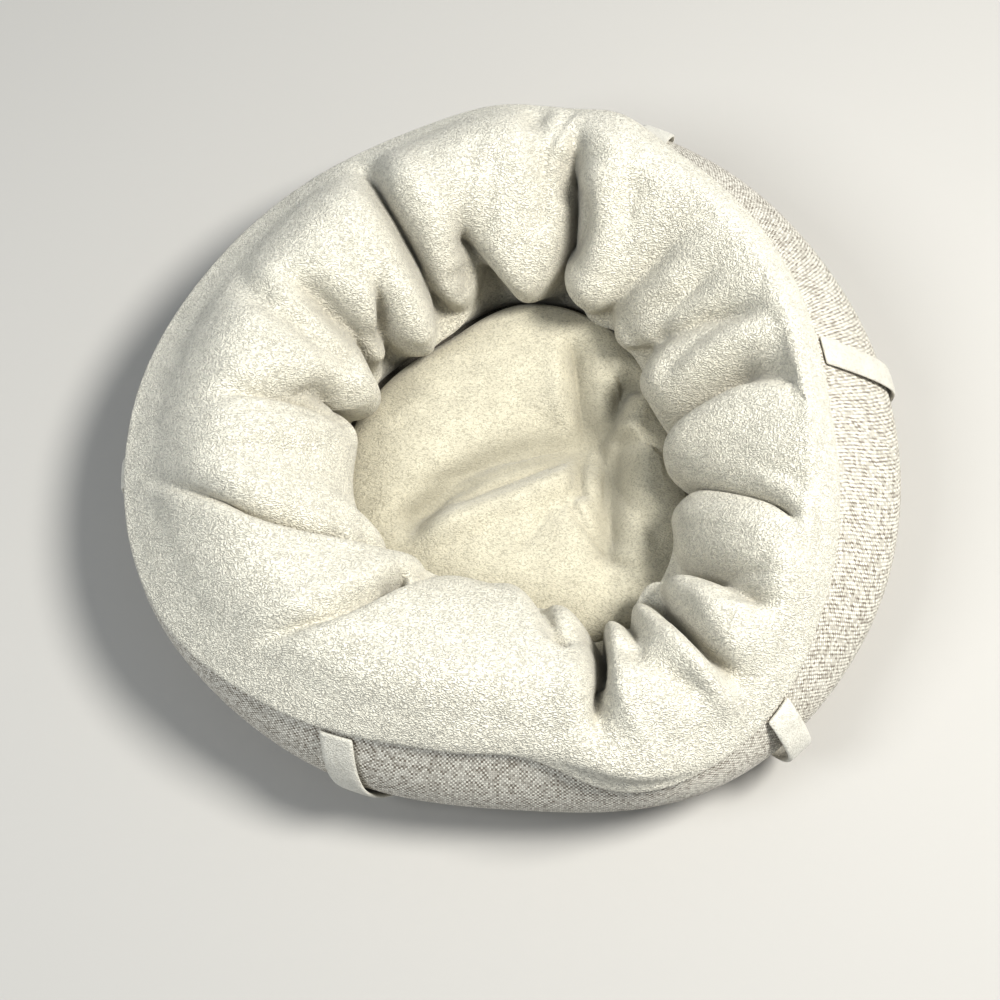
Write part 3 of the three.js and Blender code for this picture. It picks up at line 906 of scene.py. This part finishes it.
def pad_holds():
    """The underside, the rim and the tuft are held, and the top may swell a little."""
    held = np.maximum(smooth(pad_share, *PAD_HOLDS["rim"]), 1 - smooth(pad_share, *PAD_HOLDS["tuft"]))
    held = np.maximum(held, PAD_HOLDS["least"])
    return np.where(pad_under, 1.0, held), np.where(pad_under, 0.0, spare_cloth(pad_share, PAD_HOLDS))


settle(pad_cushion, *pad_holds(), cap=PAD_CAP)

# %% [markdown]
# The outer wall is one band of woven cloth. It is a sheet, so it is made as a surface and then given
# its 2 mm inwards by Solidify. Its UV map is in metres of cloth, which lets the weave keep its real
# thread count however the band bends.

# %% Woven wall
WALL_COLUMNS_FINE, WALL_PLACE_ROWS = 336, 26
WALL_SEAT, WALL_SEAT_FADES_TO = 0.3, 0.05


def wall_sheet():
    """The wall's outer face: an upright line spun round, its foot seated on the base cloth."""
    bm = bmesh.new()
    draw_line(bm, [(1.0, 0.0, place) for place in np.linspace(0, 1, WALL_PLACE_ROWS)])
    spin_round(bm, WALL_COLUMNS_FINE)
    bm.verts.index_update()
    at = positions(bm.verts)
    azimuth, place = azimuth_of(at), at[:, 2] * SEAM
    points = to_xyz(azimuth, section(azimuth, place))
    points[:, 2] -= WALL_SEAT * MM * (1 - smooth(place, 0, WALL_SEAT_FADES_TO))
    put_vertices(bm, points)
    return bm, azimuth, place


wall_mesh, wall_azimuth, wall_place = wall_sheet()
wall_points = positions(wall_mesh.verts)
grid = wall_points[np.lexsort((wall_place, np.round(wall_azimuth, 3)))].reshape(WALL_COLUMNS_FINE, -1, 3)
wall_height = float(np.linalg.norm(np.diff(grid, axis=1), axis=2).sum(1).mean())
wall_length = float(np.linalg.norm(np.roll(grid, -1, 0) - grid, axis=2).sum(0).mean())
print("wall band in mm:", round(wall_length / MM), "by", round(wall_height / MM))

# %% Lay the wall's UV map in metres
def band_uv(bm, azimuth, share, length, height):
    """U runs round the band and V up it, both in metres; the last column closes on the full length."""
    layer = bm.loops.layers.uv.new("cloth")
    for face in bm.faces:
        turns = [azimuth[loop.vert.index] / 360 for loop in face.loops]
        wraps = max(turns) - min(turns) > 0.5
        for loop, along in zip(face.loops, turns):
            around = along + 1 if wraps and along < 0.5 else along
            loop[layer].uv = (around * length, share[loop.vert.index] * height)


band_uv(wall_mesh, wall_azimuth, wall_place / SEAM, wall_length, wall_height)
woven_wall = finish_mesh(wall_mesh, "woven_wall")
normals_out = sum(p.normal.dot(Vector((p.center.x, p.center.y, 0))) > 0 for p in woven_wall.data.polygons)
if normals_out < len(woven_wall.data.polygons) / 2:
    woven_wall.data.flip_normals()
thick = woven_wall.modifiers.new("cloth thickness", "SOLIDIFY")
thick.thickness = WALL_THICKNESS * MM
thick.offset = -1
print("faces that look outward:", normals_out, "of", len(woven_wall.data.polygons))

# %% Base cloth
BASE_THICK = 2.5 * MM


def extrude_up(bm, height):
    """A second layer over all faces, closed at the sides."""
    made = bmesh.ops.extrude_face_region(bm, geom=bm.faces[:])["geom"]
    up = [item for item in made if isinstance(item, bmesh.types.BMVert)]
    bmesh.ops.translate(bm, verts=up, vec=(0, 0, height))


def base_sheet():
    """A flat panel cut to the foot of the wall: a circle of vertices, filled and extruded upwards."""
    bm = bmesh.new()
    made = bmesh.ops.create_circle(bm, segments=WALL_COLUMNS_FINE, radius=1.0, cap_ends=True)
    for vert in made["verts"]:
        angle = math.degrees(math.atan2(vert.co.y, vert.co.x)) % 360
        vert.co *= float(rail("footR", np.array([angle]))[0]) * MM
    extrude_up(bm, BASE_THICK)
    return bm


base_mesh = base_sheet()
area = sum(face.calc_area() for face in base_mesh.faces if face.normal.z > 0.5)
base_cloth = finish_mesh(base_mesh, "base_cloth")
for polygon in base_cloth.data.polygons:
    polygon.use_smooth = False
print("base area in square metres:", round(area, 4))

# %% [markdown]
# Six flat fleece loops carry the bed. Each is a strip from just under the seam to just over the foot.
# Five are drawn almost flat to the wall, and one at the front right stands off it by a finger's width.
# They are modelled directly, as flat straps should be.

# %% Carrying loops
# Columns: name, azimuth, lean, stand-off, width
LOOPS = (
    ("loop_east", 12, 2, 2, 23),
    ("loop_north_east", 68, 2, 3, 25),
    ("loop_north_west", 128, 2, 1, 25),
    ("loop_west", 187, 3, 1, 25),
    ("loop_south_west", 243, 8, 2, 25),
    ("loop_south_east", 311, 2, 9, 22),
)
LOOP_THICKNESS = 3.0
LOOP_TOP, LOOP_FOOT, LOOP_SEAT, LOOP_BOW = 0.365, 0.05, 0.6, 0.8
LOOP_GRID = (10, 40)
LOOP_EDGE = {"from": 0.8, "width": 0.2, "thinned": 0.75}


def loop_point(azimuth, lean, stand_off, beside, share, lift):
    """Beside the loop's middle line in mm, share of the way up and lift off its middle, in metres."""
    place = LOOP_FOOT + (LOOP_TOP - LOOP_FOOT) * share
    rise = LOOP_SEAT + stand_off * np.sin(np.clip(share, 0, 1) * math.pi) ** LOOP_BOW
    offset = rise + LOOP_THICKNESS / 2 + lift
    middle = azimuth + lean * (1 - np.clip(share, 0, 1))
    around = middle + np.degrees(beside / section(middle, place)[:, 0])
    flat = section(around, place) + section_normal(around, place) * offset[:, None]
    return to_xyz(around, flat)


def strap(name, azimuth, lean, stand_off, width):
    """A strap from a grid: two layers, closed at the edges, with soft rounded sides."""
    bm = bmesh.new()
    bmesh.ops.create_grid(bm, x_segments=LOOP_GRID[0], y_segments=LOOP_GRID[1], size=0.5)
    extrude_up(bm, 1)
    at = positions(bm.verts)
    edge = np.clip((np.abs(at[:, 0]) * 2 - LOOP_EDGE["from"]) / LOOP_EDGE["width"], 0, 1)
    side = np.where(at[:, 2] > 0.5, 1.0, -1.0)
    lift = side * LOOP_THICKNESS / 2 * np.sqrt(1 - LOOP_EDGE["thinned"] * edge**2)
    points = loop_point(azimuth, lean, stand_off, at[:, 0] * width, at[:, 1] + 0.5, lift)
    put_vertices(bm, points)
    piece = finish_mesh(bm, name)
    soft = piece.modifiers.new("soft edge", "SUBSURF")
    soft.levels = soft.render_levels = 1
    return piece


loops = {name: strap(name + "_strap", *shape) for name, *shape in LOOPS}
print("loops:", ", ".join(loops))

# %% [markdown]
# Short-pile fleece is a mat of fine hairs, brushed every way in small patches. Close up it shows light
# tufts with narrow darker partings between them, a millimetre or two apart. Three noises, each
# stretched along its own direction, stand for three brushings, and a slow noise decides which of them
# shows where. A parting runs where the noise crosses its middle level. One node group gives the colour
# and the height, so ring, pad and loops share it. Deep in a fold the fleece is painted darker, towards
# the root colour: painted shade, which is what the stored depth of each vertex is for.

# %% A small helper for node trees
def node(tree, kind, inputs=None, **settings):
    """A new node with its settings; an input is either a value or a socket to link from."""
    made = tree.nodes.new(kind)
    for name, value in settings.items():
        setattr(made, name, value)
    for name, value in (inputs or {}).items():
        if isinstance(value, bpy.types.NodeSocket):
            tree.links.new(value, made.inputs[name])
        else:
            made.inputs[name].default_value = value
    return made


def new_group(name, inputs, outputs):
    """A shader node group with named sockets; returns the tree and its input and output nodes."""
    tree = bpy.data.node_groups.new(name, "ShaderNodeTree")
    for label, kind, value in inputs:
        socket = tree.interface.new_socket(label, in_out="INPUT", socket_type=kind)
        if value is not None:
            socket.default_value = value
    for label, kind in outputs:
        tree.interface.new_socket(label, in_out="OUTPUT", socket_type=kind)
    return tree, tree.nodes.new("NodeGroupInput"), tree.nodes.new("NodeGroupOutput")


def noise(tree, vector, scale, detail, roughness=0.5):
    inputs = {"Vector": vector, "Scale": scale, "Detail": detail, "Roughness": roughness}
    return node(tree, "ShaderNodeTexNoise", inputs).outputs["Fac"]


def mix_numbers(tree, factor, a, b):
    return node(tree, "ShaderNodeMix", {0: factor, 2: a, 3: b}, data_type="FLOAT").outputs[0]


def mix_colors(tree, factor, a, b):
    return node(tree, "ShaderNodeMix", {0: factor, 6: a, 7: b}, data_type="RGBA").outputs[2]


def vector_sum(tree, operation, a, b):
    return node(tree, "ShaderNodeVectorMath", {0: a, 1: b}, operation=operation).outputs[0]


def scaled(tree, vector, scale):
    return node(tree, "ShaderNodeVectorMath", {0: vector, "Scale": scale}, operation="SCALE").outputs[0]


def maths(tree, operation, *values):
    return node(tree, "ShaderNodeMath", dict(enumerate(values)), operation=operation).outputs[0]


def ramp_value(tree, value, low, high, out_low=0.0, out_high=1.0):
    inputs = {"Value": value, "From Min": low, "From Max": high, "To Min": out_low, "To Max": out_high}
    return node(tree, "ShaderNodeMapRange", inputs, interpolation_type="SMOOTHSTEP").outputs["Result"]


print("node helpers ready")

# %% Short pile group
PARTINGS_PER_METRE = 620.0
BRUSHINGS = {"tilt": 25, "turns": (15, 75, 135), "scale": (0.55, 1.0, 0.8), "detail": 1.5}
PATCH_EDGES = ((0.42, 0.48), (0.53, 0.58))
PARTING_WIDTH, PARTING_DARK = 0.085, 0.7
TUFT_WIDTH, TUFT_RISE = 0.2, 0.6
PATCH_SCALE, BREAK_SCALE, TONE_SCALE, TONE_DETAIL = 22.0, 420.0, 60.0, 4.0
# What the noise runs from and to, and what that becomes
BREAKS_TO_PARTINGS = (0.36, 0.60, 0.25, 1.0)
TONE_TO_SHADE = (0.3, 0.7, 0.94, 1.03)


def short_pile_group():
    tree, start, end = new_group(
        "short_pile",
        [
            ("Vector", "NodeSocketVector", None),
            ("Tuft Colour", "NodeSocketColor", None),
            ("Root Colour", "NodeSocketColor", None),
            ("Partings", "NodeSocketFloat", PARTINGS_PER_METRE),
        ],
        [("Color", "NodeSocketColor"), ("Height", "NodeSocketFloat")],
    )
    place = start.outputs["Vector"]
    partings = []
    for angle in BRUSHINGS["turns"]:
        rotation = (math.radians(BRUSHINGS["tilt"]), 0, math.radians(angle))
        inputs = {"Vector": place, "Rotation": rotation, "Scale": BRUSHINGS["scale"]}
        turned = node(tree, "ShaderNodeMapping", inputs).outputs[0]
        partings.append(noise(tree, turned, start.outputs["Partings"], BRUSHINGS["detail"]))
    patch = noise(tree, place, PATCH_SCALE, 1.0)
    first, second = (ramp_value(tree, patch, *edges) for edges in PATCH_EDGES)
    brushed = mix_numbers(tree, second, mix_numbers(tree, first, partings[0], partings[1]), partings[2])
    from_level = maths(tree, "ABSOLUTE", maths(tree, "SUBTRACT", brushed, 0.5))
    line = ramp_value(tree, from_level, 0.0, PARTING_WIDTH, PARTING_DARK, 0.0)
    breaks = noise(tree, place, BREAK_SCALE, 1.0)
    parting = maths(tree, "MULTIPLY", line, ramp_value(tree, breaks, *BREAKS_TO_PARTINGS))
    shade = ramp_value(tree, noise(tree, place, TONE_SCALE, TONE_DETAIL), *TONE_TO_SHADE)
    colour = mix_colors(tree, parting, start.outputs["Tuft Colour"], start.outputs["Root Colour"])
    tree.links.new(scaled(tree, colour, shade), end.inputs["Color"])
    tuft_top = maths(tree, "MULTIPLY", ramp_value(tree, from_level, 0.0, TUFT_WIDTH), TUFT_RISE)
    tree.links.new(maths(tree, "SUBTRACT", tuft_top, parting), end.inputs["Height"])
    return tree


SHORT_PILE = short_pile_group()
print("partings about mm apart:", round(1000 / PARTINGS_PER_METRE, 2))

# %% A matt cloth shader for every material
def matt_material(name, **inputs):
    """A new material; the named inputs of its shader take the given values."""
    material = bpy.data.materials.new(name)
    material.use_nodes = True
    shader = material.node_tree.nodes["Principled BSDF"]
    for label, value in inputs.items():
        shader.inputs[label.replace("_", " ")].default_value = value
    return material, material.node_tree, shader


def dress_shader(tree, shader, colour, height, strength, distance):
    """Colour and relief into the shader."""
    raised = node(tree, "ShaderNodeBump", {"Height": height, "Strength": strength, "Distance": distance})
    tree.links.new(colour, shader.inputs["Base Color"])
    tree.links.new(raised.outputs[0], shader.inputs["Normal"])


print("shader helpers ready")

# %% Fleece materials
# How far the fleece is darkened towards its root colour at the bottom of a fold: painted shade
FOLD_SHADE_STRENGTH = 0.62
PILE_RISE = 0.0012
FLEECE_RELIEF, FLAT_RELIEF = 0.75, 0.4
# A root colour is the colour of the partings between tufts, and on the ring and the pad also the painted
# shade in the folds
CREAM, CREAM_ROOT_AND_SHADE = (0.83, 0.795, 0.69), (0.48, 0.45, 0.38)
PAD_CREAM, PAD_ROOT_AND_SHADE = (0.63, 0.595, 0.49), (0.37, 0.345, 0.275)
STRAP_CREAM, STRAP_ROOT = (0.74, 0.715, 0.64), (0.54, 0.51, 0.44)


def fleece_material(name, tuft, root, relief):
    material, tree, shader = matt_material(
        name, Roughness=0.93, Specular_IOR_Level=0.2, Sheen_Weight=0.35, Sheen_Roughness=0.55
    )
    where = node(tree, "ShaderNodeTexCoord").outputs["Object"]
    pile = node(tree, "ShaderNodeGroup", node_tree=SHORT_PILE)
    tree.links.new(where, pile.inputs["Vector"])
    pile.inputs["Tuft Colour"].default_value = (*tuft, 1)
    pile.inputs["Root Colour"].default_value = (*root, 1)
    # Painted shade: the deeper a vertex lies in a fold, the more its colour goes towards the root colour
    depth = node(tree, "ShaderNodeAttribute", attribute_name=FOLD_SHADE_LAYER).outputs["Fac"]
    shade_share = maths(tree, "MULTIPLY", depth, FOLD_SHADE_STRENGTH)
    pressed = mix_colors(tree, shade_share, pile.outputs["Color"], (*root, 1))
    dress_shader(tree, shader, pressed, pile.outputs["Height"], relief, PILE_RISE)
    return material


ring_fleece = fleece_material("cream fleece", CREAM, CREAM_ROOT_AND_SHADE, FLEECE_RELIEF)
pad_fleece = fleece_material("pad fleece", PAD_CREAM, PAD_ROOT_AND_SHADE, FLAT_RELIEF)
strap_fleece = fleece_material("strap fleece", STRAP_CREAM, STRAP_ROOT, FLAT_RELIEF)
fleece_ring.data.materials.append(ring_fleece)
pad_cushion.data.materials.append(pad_fleece)
for piece in loops.values():
    piece.data.materials.append(strap_fleece)
print("materials:", ring_fleece.name, pad_fleece.name, strap_fleece.name)

# %% [markdown]
# The wall is a plain weave in a heather yarn: undyed, beige and brown fibres are spun together, so
# each yarn changes tone along its length. In a plain weave every crossing shows either the upright
# yarn or the level one, by turns, like a chessboard. The group works out that chessboard from the UV
# map in metres, then gives each yarn its own tone by its number. The rows lie a little further apart
# than the columns, and the upright yarns are the lighter ones.

# %% Plain weave group
# Pitches, wander and rise are in metres
YARN_PITCH = 0.0016
ROW_PITCH = 0.0019
YARN_WANDER, WANDER_SCALE = 0.0016, 120.0
YARN_RISE, YARN_RELIEF = 0.0006, 0.18
SLUB_SCALE, SLUB_DETAIL, SLUB_RISE = 230.0, 3.0, 0.3
UPRIGHT_NUMBERS_FROM = 5000.0
# How much the yarn, the crossing, the slub and the direction weigh in the tone
TONE_SHARES = {"yarn": 0.12, "spot": 0.55, "slub": 0.5, "all": 0.6, "upright": 0.5}
TONE_ENDS = (0.2, 0.85)
# Painted shade: each yarn's colour darkens from its middle towards its edges and the gaps between yarns
GAP_TO_PAINTED_SHADE = (0.3, 0.95, 0.7, 1.0)


def plain_weave_group():
    tree, start, end = new_group(
        "plain_weave",
        [
            ("Vector", "NodeSocketVector", None),
            ("Column Pitch", "NodeSocketFloat", YARN_PITCH),
            ("Row Pitch", "NodeSocketFloat", ROW_PITCH),
            ("Light Yarn", "NodeSocketColor", None),
            ("Dark Yarn", "NodeSocketColor", None),
        ],
        [("Color", "NodeSocketColor"), ("Height", "NodeSocketFloat")],
    )
    flat = start.outputs["Vector"]
    wander = node(tree, "ShaderNodeTexNoise", {"Vector": flat, "Scale": WANDER_SCALE, "Detail": 1.0})
    centred = vector_sum(tree, "SUBTRACT", wander.outputs["Color"], (0.5, 0.5, 0.5))
    where = vector_sum(tree, "ADD", flat, scaled(tree, centred, YARN_WANDER))
    split = node(tree, "ShaderNodeSeparateXYZ", {0: where})
    across = maths(tree, "DIVIDE", split.outputs["X"], start.outputs["Column Pitch"])
    up = maths(tree, "DIVIDE", split.outputs["Y"], start.outputs["Row Pitch"])
    column_no, row_no = maths(tree, "FLOOR", across), maths(tree, "FLOOR", up)
    crossing = maths(tree, "ABSOLUTE", maths(tree, "ADD", column_no, row_no))
    upright_shows = maths(tree, "MODULO", crossing, 2.0)
    domes = [
        maths(tree, "SINE", maths(tree, "MULTIPLY", maths(tree, "FRACT", way), math.pi))
        for way in (across, up)
    ]
    domed = maths(tree, "MAXIMUM", *domes)
    upright_no = maths(tree, "ADD", column_no, UPRIGHT_NUMBERS_FROM)
    yarn_no = mix_numbers(tree, upright_shows, row_no, upright_no)
    own = node(tree, "ShaderNodeTexWhiteNoise", {"W": yarn_no}, noise_dimensions="1D").outputs["Value"]
    cell = node(tree, "ShaderNodeCombineXYZ", {0: column_no, 1: row_no}).outputs[0]
    spot = node(tree, "ShaderNodeTexWhiteNoise", {"Vector": cell}, noise_dimensions="3D").outputs["Value"]
    slub = noise(tree, where, SLUB_SCALE, SLUB_DETAIL)
    yarn_part, spot_part, slub_part, upright_part = (
        maths(tree, "MULTIPLY", value, TONE_SHARES[name])
        for name, value in (("yarn", own), ("spot", spot), ("slub", slub), ("upright", upright_shows))
    )
    tone = maths(tree, "ADD", maths(tree, "ADD", yarn_part, spot_part), slub_part)
    tone = maths(tree, "MULTIPLY", ramp_value(tree, tone, *TONE_ENDS), TONE_SHARES["all"])
    tone = maths(tree, "ADD", tone, upright_part)
    yarn = mix_colors(tree, tone, start.outputs["Dark Yarn"], start.outputs["Light Yarn"])
    # Painted shade: the yarn colour is darker towards the edges of each crossing and in the gaps
    tree.links.new(scaled(tree, yarn, ramp_value(tree, domed, *GAP_TO_PAINTED_SHADE)), end.inputs["Color"])
    slub_rise = maths(tree, "MULTIPLY", slub, SLUB_RISE)
    tree.links.new(maths(tree, "ADD", domed, slub_rise), end.inputs["Height"])
    return tree


PLAIN_WEAVE = plain_weave_group()
print("yarns per centimetre:", round(0.01 / YARN_PITCH, 1))

# %% Woven material
WALL_LIGHT, WALL_DARK = (0.88, 0.85, 0.77), (0.21, 0.175, 0.135)
BASE_LIGHT, BASE_DARK = (0.42, 0.39, 0.34), (0.26, 0.23, 0.19)


def woven_material(name, from_uv, light, dark):
    material, tree, shader = matt_material(name, Roughness=0.88, Specular_IOR_Level=0.25, Sheen_Weight=0.15)
    if from_uv:
        where = node(tree, "ShaderNodeUVMap", uv_map="cloth").outputs["UV"]
    else:
        where = node(tree, "ShaderNodeTexCoord").outputs["Object"]
    weave = node(tree, "ShaderNodeGroup", node_tree=PLAIN_WEAVE)
    tree.links.new(where, weave.inputs["Vector"])
    weave.inputs["Light Yarn"].default_value = (*light, 1)
    weave.inputs["Dark Yarn"].default_value = (*dark, 1)
    dress_shader(tree, shader, weave.outputs["Color"], weave.outputs["Height"], YARN_RELIEF, YARN_RISE)
    return material


wall_cloth = woven_material("greige plain weave", from_uv=True, light=WALL_LIGHT, dark=WALL_DARK)
base_weave = woven_material("base weave", from_uv=False, light=BASE_LIGHT, dark=BASE_DARK)
woven_wall.data.materials.append(wall_cloth)
base_cloth.data.materials.append(base_weave)
print("woven materials:", wall_cloth.name, base_weave.name)

# %% [markdown]
# Subdivision comes last, so that the round forms read as cloth and not as facets. Then each piece is
# tied to the body it moves with, and the plain solid it stands for is hidden.

# %% Finish the pieces and tie them to the frame
for piece in (fleece_ring, pad_cushion):
    soft = piece.modifiers.new("round", "SUBSURF")
    soft.levels = soft.render_levels = 1

DRESSES = {"bolster": fleece_ring, "pad": pad_cushion, "wall_panel": woven_wall, "base_panel": base_cloth}
DRESSES.update(loops)
for node_name, piece in DRESSES.items():
    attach(piece, BODY)
    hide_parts(node_name)

LOOP_STEPS = 60
for name, *course, width in LOOPS:
    middle = np.zeros(LOOP_STEPS)
    line = loop_point(*course, middle, np.linspace(0, 1, LOOP_STEPS), middle)
print("pieces tied:", len(DRESSES))

# %% [markdown]
# Last come the floor and the light. The photograph has a strong soft light high on the right and a
# paler sky light all round. Its darks and lights lie further apart than a plain render's, and the gamma
# of the view brings the two near each other.

# %% Floor
FLOOR_SIZE, FLOOR_DROP = 6.0, 0.5 * MM
FLOOR_COLOUR = (0.52, 0.505, 0.48, 1)


def add_floor():
    bm = bmesh.new()
    bmesh.ops.create_grid(bm, x_segments=2, y_segments=2, size=FLOOR_SIZE)
    floor = finish_mesh(bm, "floor")
    floor.location.z = -FLOOR_DROP
    pale = matt_material("pale floor", Base_Color=FLOOR_COLOUR, Roughness=0.9)[0]
    floor.data.materials.append(pale)
    print("floor added:", floor.name)


add_floor()

# %% Lights and sky
LIGHTS_AIM = (0, 0, 0.08)
# Columns: name, place, size, power, colour
LIGHTS = (
    ("window light", (1.15, 0.0, 2.05), 0.75, 68.0, (1.0, 0.99, 0.96)),
    ("room light", (-1.3, -0.7, 1.9), 0.9, 22.0, (0.94, 0.97, 1.0)),
)
SKY_COLOUR, SKY_STRENGTH = (0.86, 0.93, 1.0, 1), 0.33
VIEW_GAMMA = 0.75


def add_area_light(name, at, size, power, colour):
    data = bpy.data.lights.new(name, "AREA")
    data.shape = "DISK"
    data.size = size
    data.energy = power
    data.color = colour
    lamp = bpy.data.objects.new(name, data)
    aim_from(lamp, at, LIGHTS_AIM)
    bpy.context.scene.collection.objects.link(lamp)


for light in LIGHTS:
    add_area_light(*light)
world = bpy.data.worlds.new("pale room")
bpy.context.scene.world = world
world.use_nodes = True
sky = world.node_tree.nodes["Background"]
sky.inputs["Color"].default_value = SKY_COLOUR
sky.inputs["Strength"].default_value = SKY_STRENGTH
bpy.context.scene.view_settings.view_transform = "Standard"
bpy.context.scene.view_settings.gamma = VIEW_GAMMA
print("lights:", len(LIGHTS), "and the sky")
